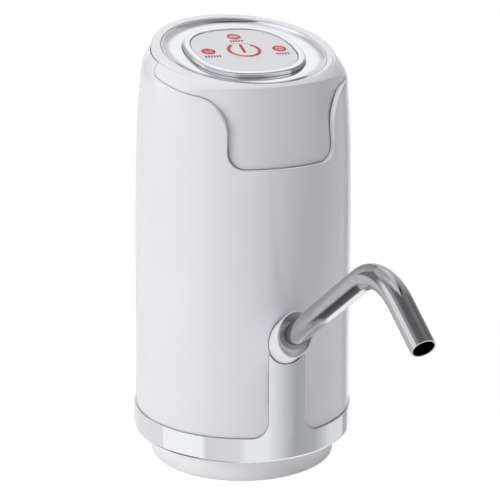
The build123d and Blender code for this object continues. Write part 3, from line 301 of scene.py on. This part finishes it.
# %% Light by kind of ray
fill_strength = 0.07
sky_ray = add_node(sky, "LightPath")
fill = add_node(
    sky, "Background", {"Color": linear("#F4F6FA"), "Strength": fill_strength}
)
page = add_node(sky, "Background", {"Color": white_light, "Strength": 1.0})
mirror_light = add_node(sky, "Background", {"Strength": 1.0}, {"Color": mirrored})
backdrop = fill
for kind, part in (
    ("Is Glossy Ray", mirror_light),
    ("Is Camera Ray", page),
    ("Is Transmission Ray", page),
):
    backdrop = add_node(
        sky,
        "MixShader",
        links={0: sky_ray.outputs[kind], 1: backdrop.outputs[0], 2: part.outputs[0]},
    )
add_node(sky, "OutputWorld", links={"Surface": backdrop.outputs[0]})
print("nodes in the world:", len(sky.nodes))

# %% [markdown]
# ### Lamps
#
# The matt and glossy plastics are lit by three large soft lamps: one on the
# left, a weaker one behind on the right, and the strongest above. Sun lamps
# would give hard shadows, so area lamps are used. Reflections don't show the
# lamps, because they already have the panels.


# %% Lamps
def soft_lamp(name, place, width, height, power):
    """A white rectangular lamp, in metres and watts, aimed at the object."""
    data = bpy.data.lights.new(name, "AREA")
    data.shape = "RECTANGLE"
    data.size = width
    data.size_y = height
    data.energy = power
    lamp = bpy.data.objects.new(name, data)
    lamp.location = place
    aim = camera_target - Vector(place)
    lamp.rotation_euler = aim.to_track_quat("-Z", "Y").to_euler()
    bpy.context.scene.collection.objects.link(lamp)
    lamp.visible_glossy = False
    lamp.visible_camera = False
    print(name, round(aim.length, 2), "m away,", power, "W")
    return lamp


soft_lamp("lamp_left", (-1.10, -0.25, 0.49), width=0.6, height=0.7, power=6.5)
soft_lamp("lamp_back", (0.50, 1.00, 0.49), width=0.6, height=0.7, power=3.0)
soft_lamp("lamp_above", (0, 0, 1.30), width=0.8, height=0.8, power=9.8)

# %% [markdown]
# ## Floor
#
# The object stands on a plain white sweep, six metres wide so that no edge of
# it shows. It lies a fifth of a millimetre under the collar, so the two
# surfaces don't flicker into each other. A bent backdrop could stand behind
# the object, but the white of the world already does its work.

# %% Floor
floor_reach = 3.0
floor_gap = 0.0002
corners = [(-1, -1), (1, -1), (1, 1), (-1, 1)]
floor_points = [(x * floor_reach, y * floor_reach, 0) for x, y in corners]
floor_mesh = bpy.data.meshes.new("floor")
floor_mesh.from_pydata(floor_points, [], [(0, 1, 2, 3)])
floor = bpy.data.objects.new("floor", floor_mesh)
floor.location.z = cad_box[0][2] - floor_gap
bpy.context.scene.collection.objects.link(floor)
floor.visible_glossy = False
print("floor at", round(floor.location.z, 4))

# %% [markdown]
# ### Floor paint
#
# The paint is matt and gives light back from below, with a little glow of its
# own that lifts the underside of the spout. Towards the camera nearly all of
# it is plain white, so the page stays white round the object, and the few
# hundredths that are left keep a faint shadow.

# %% Floor paint
own_glow = 0.27
page_share = 0.96
floor_paint = bpy.data.materials.new("matt_white_sweep")
floor_paint.use_nodes = True
paint = floor_paint.node_tree
paint.nodes.clear()
floor_ray = add_node(paint, "LightPath")
matt = add_node(paint, "BsdfDiffuse", {"Color": linear("#F2F2F2"), "Roughness": 0.5})
plain = add_node(paint, "Emission", {"Color": white_light, "Strength": 1.0})
glow = add_node(paint, "Emission", {"Color": white_light, "Strength": own_glow})
bounce = add_node(paint, "AddShader", links={0: matt.outputs[0], 1: glow.outputs[0]})
towards_camera = add_node(
    paint,
    "Math",
    {"operation": "MULTIPLY", 1: page_share},
    {0: floor_ray.outputs["Is Camera Ray"]},
)
look = add_node(
    paint,
    "MixShader",
    links={0: towards_camera.outputs[0], 1: bounce.outputs[0], 2: plain.outputs[0]},
)
add_node(paint, "OutputMaterial", links={"Surface": look.outputs[0]})
floor_mesh.materials.append(floor_paint)
print("nodes in the floor paint:", len(paint.nodes))

# %% [markdown]
# ## Materials
#
# One recipe serves them all: a principled shader whose colour varies a
# little, whose roughness varies a little more, and whose surface has a relief
# at the size that the real finish has. Sizes are in millimetres. Two steps of
# the recipe are helpers of their own.
#
# ### Painted shade in the joints
#
# Where two pieces meet, and in narrow grooves, the colour is darkened as
# painted shade, for the shade that real hairline gaps hold and that bare CAD
# solids don't show. Ambient occlusion tells how open a place is within a short
# distance, and closed places get a darker colour. Wider gaps in the solids
# would look dark as well, but wrong in size.

# %% Shade in the joints
shading_rays = 6
closed, open_enough = 0.35, 0.75


def paint_joint_shade(tree, colour, width, shade):
    """Paint shade into a colour in gaps up to a width, down to a share of its light."""
    openness = add_node(
        tree, "AmbientOcclusion", {"samples": shading_rays, "Distance": width * MM}
    )
    darkness = add_node(
        tree,
        "MapRange",
        {"From Min": closed, "From Max": open_enough, "To Min": shade, "To Max": 1.0},
        {"Value": openness.outputs["AO"]},
    )
    # painted shade: the colour is multiplied by the darkness of closed places
    gap = add_node(
        tree,
        "MixRGB",
        {"blend_type": "MULTIPLY", "Fac": 1.0},
        {"Color1": colour, "Color2": darkness.outputs["Result"]},
    )
    return gap.outputs[0]


print("joints are shaded with", shading_rays, "rays a place")

# %% [markdown]
# ### Relief and rounded edges
#
# A moulded or plated surface is never quite flat, and its edges are never
# quite sharp. A noise at the size of the real grain tilts the surface a
# little. An edge radius rounds sharp edges in the shading, so they catch a
# thin line of light as real ones do. Rounding the mesh would show the same
# line, but the CAD pieces keep their meshes.

# %% Grain and edges
grain_detail = 3.0


def fine_relief(tree, place, grain, relief, edge):
    """A normal with grain of one width and height, and edges of one radius."""
    grains = add_node(
        tree,
        "TexNoise",
        {"Scale": 1 / (grain * MM), "Detail": grain_detail},
        {"Vector": place},
    )
    links = {"Height": grains.outputs[0]}
    if edge:
        rounding = add_node(
            tree, "Bevel", {"samples": shading_rays, "Radius": edge * MM}
        )
        links["Normal"] = rounding.outputs[0]
    bump = add_node(tree, "Bump", {"Strength": 1.0, "Distance": relief * MM}, links)
    return bump.outputs[0]


print("detail of the grain:", grain_detail)

# %% [markdown]
# ### The recipe
#
# Patches of a slow noise turn one colour into a second, close one, and raise
# the roughness in the same places, as handling and cooling in the mould do.
# Values that are the same all over are set on the shader's own sockets.

# %% Surface recipe
patch_detail = 2.0
patch_low, patch_high = 0.3, 0.7


def surface(
    name, colour, second, *, patch, roughness, spread, grain, relief,
    edge=0.0, joint_shade_width=0.0, joint_shade=1.0, **settings,
):
    """A material with two close colours, uneven roughness, fine relief and painted shade
    in joints.
    """
    material = bpy.data.materials.new(name)
    material.use_nodes = True
    tree = material.node_tree
    tree.nodes.clear()
    place = add_node(tree, "TexCoord").outputs["Object"]
    patches = add_node(
        tree,
        "TexNoise",
        {"Scale": 1 / (patch * MM), "Detail": patch_detail},
        {"Vector": place},
    )
    colours = {"Color1": linear(colour), "Color2": linear(second)}
    tint = add_node(tree, "MixRGB", colours, {"Fac": patches.outputs[0]}).outputs[0]
    # in joints the tint gets painted shade, darker where the place is closed in
    if joint_shade_width:
        tint = paint_joint_shade(tree, tint, joint_shade_width, joint_shade)
    rough_range = {"To Min": roughness, "To Max": roughness + spread}
    polish = add_node(
        tree,
        "MapRange",
        {"From Min": patch_low, "From Max": patch_high, **rough_range},
        {"Value": patches.outputs[0]},
    )
    shader = add_node(
        tree,
        "BsdfPrincipled",
        {key.replace("_", " "): value for key, value in settings.items()},
        {
            "Base Color": tint,
            "Roughness": polish.outputs["Result"],
            "Normal": fine_relief(tree, place, grain, relief, edge),
        },
    )
    add_node(tree, "OutputMaterial", links={"Surface": shader.outputs[0]})
    print(name, "with", len(tree.nodes), "nodes")
    return material


finishes = {}

# %% [markdown]
# ### Body and collar: ABS
#
# The body is injection-moulded ABS from a polished mould. ABS has an IOR of
# about 1.54. A polished mould leaves a nearly mirror-smooth skin with a soft
# waviness 4 mm across, which bends reflections a little. The collar comes from
# a spark-eroded mould, whose texture of a quarter of a millimetre makes it
# satin.

# %% Glossy and satin ABS
finishes["white_shell"] = surface(
    "glossy_white_abs", "#EEEEF3", "#EBEBF0",
    patch=30, roughness=0.05, spread=0.03, grain=4.0, relief=0.003,
    # painted shade, 2.2 mm wide, darkens the white in joints and grooves
    edge=0.5, joint_shade_width=2.2, joint_shade=0.68, IOR=1.54,
)
# The collar's white is set a little lighter than the body's, as painted light for the fill
# that the foot ring keeps from it.
finishes["white_collar"] = surface(
    "satin_white_abs", "#F8F8FA", "#F5F5F7",
    patch=20, roughness=0.30, spread=0.06, grain=0.25, relief=0.006,
    # painted shade, 1 mm wide, where the collar meets the foot ring
    joint_shade_width=1.0, joint_shade=0.3, IOR=1.54,
)

# %% [markdown]
# ### Foot ring, dish and frame: chrome on plastic
#
# These are ABS with a bright chrome plating. Plating is a mirror, with a
# roughness near zero, and is slightly cool. It follows the moulded skin under
# it, so it has a waviness of 5 mm and small round edges.

# %% Chrome plating
finishes["chrome_trim"] = surface(
    "bright_chrome_plating", "#E6E7EA", "#E2E4E8",
    patch=12, roughness=0.035, spread=0.02, grain=5.0, relief=0.002,
    # painted shade, half a millimetre wide, darkens the reflections in the joints
    edge=0.35, joint_shade_width=0.5, joint_shade=0.12, Metallic=1.0,
)

# %% [markdown]
# ### Spout: stainless steel
#
# The spout is a drawn tube, bent and polished. Steel is darker than chrome, and
# polishing leaves marks about half a millimetre apart that soften its
# reflections a little. A deeper relief speckles the tube in side views, so it
# stays under a thousandth of a millimetre.

# %% Polished steel
finishes["steel_tube"] = surface(
    "polished_stainless_steel", "#BDBDBF", "#AEAEB1",
    patch=5, roughness=0.05, spread=0.05, grain=0.5, relief=0.0007, Metallic=1.0,
)

# %% [markdown]
# ### Screws, motor and bushes
#
# These sit inside. Zinc plating is dull, with crystals of a fifth of a
# millimetre. The motor's can is drawn steel. Sintered bronze bushes are
# pressed from grains of 0.15 mm, which leaves pores that hold oil. Brushes are
# stamped from bright brass strip.

# %% Metals inside
finishes["screw_steel"] = surface(
    "zinc_plated_steel", "#B9BCC0", "#A9ABAE",
    patch=1.5, roughness=0.28, spread=0.12, grain=0.2, relief=0.006, Metallic=1.0,
)
finishes["motor_steel"] = surface(
    "drawn_steel", "#A8A9AB", "#97989A",
    patch=5, roughness=0.30, spread=0.12, grain=0.3, relief=0.006, Metallic=1.0,
)
finishes["bush_bronze"] = surface(
    "sintered_bronze", "#B58A4E", "#8F6B3A",
    patch=0.6, roughness=0.42, spread=0.15, grain=0.15, relief=0.02, Metallic=1.0,
)
finishes["terminal_brass"] = surface(
    "stamped_brass", "#D2B574", "#C2A463",
    patch=2, roughness=0.22, spread=0.1, grain=0.2, relief=0.004, Metallic=1.0,
)

# %% [markdown]
# ### Label and keys
#
# The label is a satin polyester film with an embossed skin of a fifth of a
# millimetre. The discs on it are opaque red screen ink, which dries slightly
# rough. The battery lamp has a red acrylic window, a little glossier than the
# ink, and no light on behind it. The stems of the keys are black nylon.

# %% Film, ink and keys
finishes["grey_panel"] = surface(
    "satin_grey_film", "#E6E7E9", "#E2E3E6",
    patch=9, roughness=0.42, spread=0.08, grain=0.2, relief=0.006,
    # painted shade, half a millimetre wide, darkens the film along its frame
    joint_shade_width=0.5, joint_shade=0.3, IOR=1.52,
)
finishes["red_key"] = surface(
    "red_screen_ink", "#DE2D2D", "#D62929",
    patch=1.2, roughness=0.42, spread=0.1, grain=0.12, relief=0.006, IOR=1.5,
)
finishes["lamp_pipe"] = surface(
    "translucent_red_acrylic", "#E03232", "#D82C2C",
    patch=1.2, roughness=0.30, spread=0.06, grain=0.3, relief=0.004, IOR=1.49,
)
finishes["key_stem"] = surface(
    "moulded_black_nylon", "#2C2C2E", "#242426",
    patch=3, roughness=0.45, spread=0.1, grain=0.2, relief=0.01, IOR=1.53,
)

# %% [markdown]
# ### Seals: silicone and rubber
#
# The sleeve in the spout's socket, the grip for the bottle's neck and the
# valves are moulded silicone, which has a low IOR of 1.41 and a dull skin. The
# black rubber of gasket, ring and diaphragm is duller still.

# %% Silicone and rubber
finishes["grey_silicone"] = surface(
    "grey_silicone", "#DCDDE0", "#D2D3D7",
    patch=3, roughness=0.50, spread=0.1, grain=0.3, relief=0.012, IOR=1.41,
)
finishes["black_rubber"] = surface(
    "moulded_black_rubber", "#262627", "#1D1D1E",
    patch=4, roughness=0.58, spread=0.12, grain=0.25, relief=0.02, IOR=1.52,
)

# %% [markdown]
# ### Moulded pieces inside
#
# Brackets and caps inside are ABS in its own creamy colour, and the pump and
# the cradle are black nylon. Both have the matt texture of a spark-eroded
# mould, three or four tenths of a millimetre across. It is drawn at its real
# size, although these pieces hardly show.

# %% Inner plastics
finishes["inner_plastic"] = surface(
    "natural_abs", "#DAD8D2", "#D2D0C9",
    patch=14, roughness=0.40, spread=0.1, grain=0.4, relief=0.012, IOR=1.54,
)
finishes["black_plastic"] = surface(
    "black_moulded_nylon", "#2A2A2C", "#222224",
    patch=5, roughness=0.40, spread=0.1, grain=0.3, relief=0.012, IOR=1.53,
)

# %% [markdown]
# ### Boards, hoses, magnets and cell
#
# A board's green is a glossy solder mask over copper, with tracks that show as
# patches of 2 mm. The hoses are milky silicone. The magnets are sintered
# ferrite, dull and nearly black, and the cell has a shrunk film that lies in
# soft waves of 3 mm.

# %% Boards, hoses, magnets and cell
finishes["board_green"] = surface(
    "green_solder_mask", "#1D6B3C", "#175730",
    patch=2.2, roughness=0.28, spread=0.1, grain=0.5, relief=0.01, IOR=1.5,
)
finishes["clear_hose"] = surface(
    "milky_silicone_hose", "#DFE3E6", "#D2D7DB",
    patch=3, roughness=0.30, spread=0.1, grain=0.6, relief=0.01, IOR=1.41,
)
finishes["magnet"] = surface(
    "sintered_ferrite", "#3A3A3C", "#2E2E30",
    patch=1.0, roughness=0.55, spread=0.15, grain=0.2, relief=0.02, IOR=2.0,
)
finishes["cell_wrap"] = surface(
    "shrink_wrapped_film", "#3478BC", "#2C6CAC",
    patch=20, roughness=0.22, spread=0.08, grain=3.0, relief=0.01, IOR=1.55,
)
print("finishes:", len(finishes))

# %% [markdown]
# ### Dressing the CAD nodes
#
# Each CAD node arrives with a slot that is named after its finish, so the new
# material goes to the slot of that name. Nothing is moved or reshaped.

# %% Finishes on the CAD nodes
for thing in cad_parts.values():
    for held in thing.material_slots:
        held.material = finishes[held.material.name]
print("dressed", len(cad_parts), "nodes")

# %% [markdown]
# ### A small lamp for the seal
#
# The soft sleeve sits deep in the mouth of its socket, where the large lamps
# hardly reach. In the photograph it is about as light as the shaded side of
# the body. A small soft lamp that lights only the sleeve brings it near that,
# and leaves the body's shading as it is. A brighter silicone wouldn't help,
# because little light gets there.

# %% A small lamp for the spout's seal
seal_lamp = soft_lamp(
    "lamp_seal", (-0.12, -0.60, 0.50), width=0.3, height=0.3, power=1.6
)
lit_pieces = bpy.data.collections.new("lit_by_seal_lamp")
lit_pieces.objects.link(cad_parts["spout_seal"])
seal_lamp.light_linking.receiver_collection = lit_pieces

# %% [markdown]
# ## Printed marks
#
# The label carries a red power sign, a red disc on each small key and white
# signs on the discs. On the real part they are screen-printed, so each one is
# a film of ink a few hundredths of a millimetre thick. They could be painted
# in a shader, but a thin solid keeps a crisp edge at any distance and moves
# with its own key. The signs are plain generic ones: power, battery, cup and
# clock. Rows of small black dashes stand by the discs.
#
# ### Where the label lies
#
# The label's place follows from four values of the CAD model: the height of
# the slanted top on the body's axis, its slope towards the spout, how far the
# label is turned, and how deep it sits. Lengths are in millimetres. The CAD
# source has the same values.


# %% Label plane
top_height = 146.8
top_slope = radians(12.5)
label_turn = radians(5.0)
label_depth = 0.2
label_up = Vector((0, -sin(top_slope), cos(top_slope)))
label_right = Vector(
    (
        cos(label_turn),
        -sin(label_turn) * cos(top_slope),
        -sin(label_turn) * sin(top_slope),
    )
)
label_back = label_up.cross(label_right)
label_middle = Vector((0, 0, top_height)) - label_up * label_depth


def on_label(x, y, height=0.0):
    """A point on the label, from millimetres across and back, in metres."""
    return (label_middle + label_right * x + label_back * y + label_up * height) * MM


print("label faces", [round(value, 3) for value in label_up])
print("label's middle", [round(value, 4) for value in on_label(0, 0)])

# %% [markdown]
# ### Strokes of ink
#
# A sign is drawn as strokes of a round pen: a line of points gets a width and
# two round ends, and becomes one outline. A curve object with a bevel would be
# quicker, but its ends and its thickness would not be those of a printed film.


# %% Pen strokes
def stroke_outline(points, width, cap_steps):
    """The outline of a pen stroke with round ends along a line of points."""
    line = [Vector(point) for point in points]
    right_side, left_side = [], []
    for number, point in enumerate(line):
        before = line[max(number - 1, 0)]
        after = line[min(number + 1, len(line) - 1)]
        ahead = (after - before).normalized()
        side = Vector((ahead.y, -ahead.x)) * (width / 2)
        right_side.append(point + side)
        left_side.append(point - side)
    start = (line[0] - line[1]).normalized()
    end = (line[-1] - line[-2]).normalized()
    caps = []
    for middle, ahead in ((line[-1], end), (line[0], start)):
        angle = atan2(ahead.y, ahead.x)
        turns = [angle - pi / 2 + pi * step / cap_steps for step in range(1, cap_steps)]
        rays = [Vector((cos(turn), sin(turn))) * (width / 2) for turn in turns]
        caps.append([middle + ray for ray in rays])
    return right_side + caps[0] + left_side[::-1] + caps[1]


test_stroke = stroke_outline([(0, 0), (0, 1)], width=1, cap_steps=4)
print("a straight stroke has", len(test_stroke), "corners")

# %% [markdown]
# ### Arcs
#
# The power sign and the clock need arcs, as points at even angles. Angles
# start at the right and run against the clock, as on paper.


# %% Arcs
def arc_points(radius, first, last, steps):
    """Points on an arc round the origin, with its angles in degrees."""
    turns = [radians(first + (last - first) * step / steps) for step in range(steps + 1)]
    return [(radius * cos(turn), radius * sin(turn)) for turn in turns]


print("a quarter arc ends at", arc_points(1, first=0, last=90, steps=9)[-1])

# %% [markdown]
# ### Ink on the label
#
# The ink is a film 0.03 mm thick, as screen print is. Each outline becomes a
# closed solid on the label, with its own upper face, under face and edge. It
# rides on the body that it is printed on.

# %% Ink
ink_thickness = 0.03


def print_ink(name, outlines, body, finish):
    """Thin solids of ink on the label, one for each outline."""
    mesh = bpy.data.meshes.new(name)
    shape = bmesh.new()
    for outline in outlines:
        under = [shape.verts.new(on_label(x, y)) for x, y in outline]
        over = [shape.verts.new(on_label(x, y, ink_thickness)) for x, y in outline]
        shape.faces.new(over)
        shape.faces.new(under[::-1])
        for number in range(len(outline)):
            following = (number + 1) % len(outline)
            shape.faces.new(
                (under[number], under[following], over[following], over[number])
            )
    bmesh.ops.recalc_face_normals(shape, faces=shape.faces)
    shape.to_mesh(mesh)
    shape.free()
    mesh.materials.append(finishes[finish])
    mark = bpy.data.objects.new(name, mesh)
    bpy.context.scene.collection.objects.link(mark)
    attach(mark, body)
    print(name, "has", len(outlines), "strokes and rides", body)


print("ink is", ink_thickness, "mm thick")

# %% [markdown]
# ### Power sign
#
# The power key has the usual sign: an open ring with a bar in its gap. Both
# are printed in red, 1.1 mm wide, and the bar leans a little, as it does on
# the real label. The ink rides on the key.

# %% Power sign
sign_radius = 5.3
sign_width = 1.1
sign_cap_steps = 8
bar_top, bar_foot = (0.0, 4.4), (-0.35, -2.0)
ring_line = arc_points(sign_radius, first=130, last=405, steps=64)
sign_arc = stroke_outline(ring_line, sign_width, sign_cap_steps)
sign_bar = stroke_outline([bar_top, bar_foot], sign_width, sign_cap_steps)
print_ink("power_sign", [sign_arc, sign_bar], "power_button", "red_key")
print("power sign", 2 * sign_radius + sign_width, "mm across")

# %% [markdown]
# ### Drawing the small signs
#
# Each red disc carries a plain white sign, drawn round the origin in
# millimetres: a cup with its water line, a battery with three bars, and a
# clock with two hands. Letters could stand there, but a plain sign needs no
# language.

# %% Small signs as lines
cup = [
    [(-1.0, 0.9), (-0.75, -1.0), (0.75, -1.0), (1.0, 0.9)],
    [(-0.85, 0.2), (0.85, 0.2)],
]
battery = [
    [(-1.3, -0.7), (1.1, -0.7), (1.1, 0.7), (-1.3, 0.7), (-1.3, -0.7)],
    [(1.5, -0.25), (1.5, 0.25)],
    [(-0.8, -0.25), (-0.8, 0.25)],
    [(-0.1, -0.25), (-0.1, 0.25)],
    [(0.6, -0.25), (0.6, 0.25)],
]
clock = [
    arc_points(radius=1.25, first=0, last=352, steps=40),
    [(0.0, 0.8), (0.0, 0.0), (0.55, -0.3)],
]
print("strokes in the small signs:", len(cup), len(battery), len(clock))

# %% [markdown]
# ### Signs on the discs
#
# The strokes are a third of a millimetre wide. Two discs are keys, so their
# signs ride on the keys. The third is a lamp for the battery, and its sign
# stays with the pump.

# %% Signs on the small discs
fine_width = 0.34
fine_cap_steps = 5
disc_reach = 12.9
lamp_reach = 11.7


def moved(points, middle):
    """Points drawn round the origin, moved to a place on the label."""
    return [(x + middle[0], y + middle[1]) for x, y in points]


for sign_name, strokes, middle, body in (
    ("cup_sign", cup, (-disc_reach, 0), "volume_button"),
    ("battery_sign", battery, (0, lamp_reach), "pump"),
    ("clock_sign", clock, (disc_reach, 0), "timer_button"),
):
    lines = [moved(stroke, middle) for stroke in strokes]
    outlines = [stroke_outline(line, fine_width, fine_cap_steps) for line in lines]
    print_ink(sign_name, outlines, body, "white_shell")

# %% [markdown]
# ### Rows of dashes
#
# A row of five or six plain upright dashes stands by each disc, half a
# millimetre wide and as far apart. They are printed in black, give the eye the
# scale of fine print, and say nothing.

# %% Rows of dashes
dash_width = 0.5
dash_height = 1.3
dash_cap_steps = 4
for row_name, middle, count in (
    ("volume_caption", (-12.5, -4.3), 6),
    ("battery_caption", (-0.2, 7.9), 5),
    ("timer_caption", (12.7, -4.4), 5),
):
    outlines = []
    for number in range(count):
        place = (number - (count - 1) / 2) * 2 * dash_width
        dash = moved([(place, -dash_height / 2), (place, dash_height / 2)], middle)
        outlines.append(stroke_outline(dash, dash_width, dash_cap_steps))
    print_ink(row_name, outlines, "pump", "key_stem")

# %% [markdown]
# ## Last steps

print("the pump is dressed")
